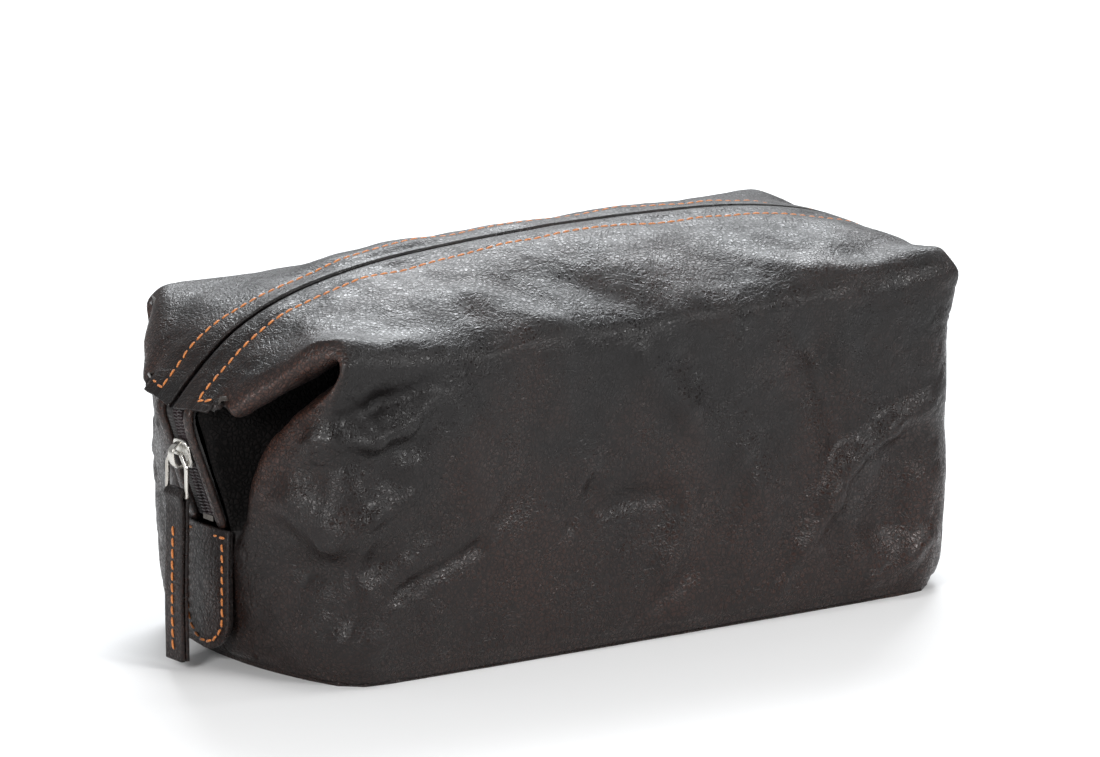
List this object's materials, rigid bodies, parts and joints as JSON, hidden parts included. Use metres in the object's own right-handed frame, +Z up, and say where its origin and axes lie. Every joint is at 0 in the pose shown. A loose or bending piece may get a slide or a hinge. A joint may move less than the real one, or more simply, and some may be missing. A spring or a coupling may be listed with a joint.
{
  "type": "shaving kit bag",
  "caption": "Boxy leather wash bag with pinched gusset ends and a zip that runs over the arched top and down both ends.",
  "frame": {"origin": "middle of the flat underside, on the surface the bag stands on", "axes": "+X along the bag, away from the end that the zip slider hangs on; -Y is the front; +Z up"},
  "size_m": [0.3326, 0.13, 0.1426],
  "materials": {
    "brown_leather": "pebbled, soft sheen",
    "lining_cloth": "plain weave",
    "zip_tape": "woven",
    "zip_coil": "satin",
    "nickel": "polished",
    "orange_thread": "waxed thread"
  },
  "bodies": {
    "body": {"base_panel": "brown_leather", "base_lining": "lining_cloth", "front_panel": "brown_leather", "front_lining": "lining_cloth", "back_panel": "brown_leather", "back_lining": "lining_cloth", "near_tab": "brown_leather", "near_tab_backing": "brown_leather", "near_tab_stitching": "orange_thread", "near_zip_strip_front": "brown_leather", "near_zip_tape_front": "zip_tape", "near_zip_coil_front": "zip_coil", "near_zip_strip_back": "brown_leather", "near_zip_tape_back": "zip_tape", "near_zip_coil_back": "zip_coil", "near_zip_stop": "nickel", "far_tab": "brown_leather", "far_tab_backing": "brown_leather", "far_tab_stitching": "orange_thread", "far_zip_strip_front": "brown_leather", "far_zip_tape_front": "zip_tape", "far_zip_coil_front": "zip_coil", "far_zip_strip_back": "brown_leather", "far_zip_tape_back": "zip_tape", "far_zip_coil_back": "zip_coil", "far_zip_stop": "nickel"},
    "front_flap": {"front_top_panel": "brown_leather", "front_top_lining": "lining_cloth", "front_zip_tape": "zip_tape", "front_zip_coil": "zip_coil", "front_zip_stitching": "orange_thread"},
    "back_flap": {"back_top_panel": "brown_leather", "back_top_lining": "lining_cloth", "back_zip_tape": "zip_tape", "back_zip_coil": "zip_coil", "back_zip_stitching": "orange_thread"},
    "slider": {"slider_body": "nickel", "slider_bridge": "nickel"},
    "puller": {"puller": "nickel"},
    "strap": {"pull_strap": "brown_leather", "strap_stitching": "orange_thread"}
  },
  "joints": [
    {"name": "front_flap_hinge", "type": "hinge", "parent": "body", "child": "front_flap", "pos_m": [0, -0.065, 0.112], "axis": [1, 0, 0], "range_deg": [0, 55]},
    {"name": "back_flap_hinge", "type": "hinge", "parent": "body", "child": "back_flap", "pos_m": [0, 0.065, 0.112], "axis": [-1, 0, 0], "range_deg": [0, 55]},
    {"name": "slider_slide", "type": "slide", "parent": "body", "child": "slider", "axis": [-0.3336, 0, 0.9427], "range_m": [-0.012, 0.005]},
    {"name": "puller_hinge", "type": "hinge", "parent": "slider", "child": "puller", "pos_m": [-0.16316, 0, 0.08022], "axis": [0, 1, 0], "range_deg": [-1, 130]},
    {"name": "strap_hinge", "type": "hinge", "parent": "puller", "child": "strap", "pos_m": [-0.16316, 0, 0.06472], "axis": [0, 1, 0], "range_deg": [-2, 60]}
  ]
}
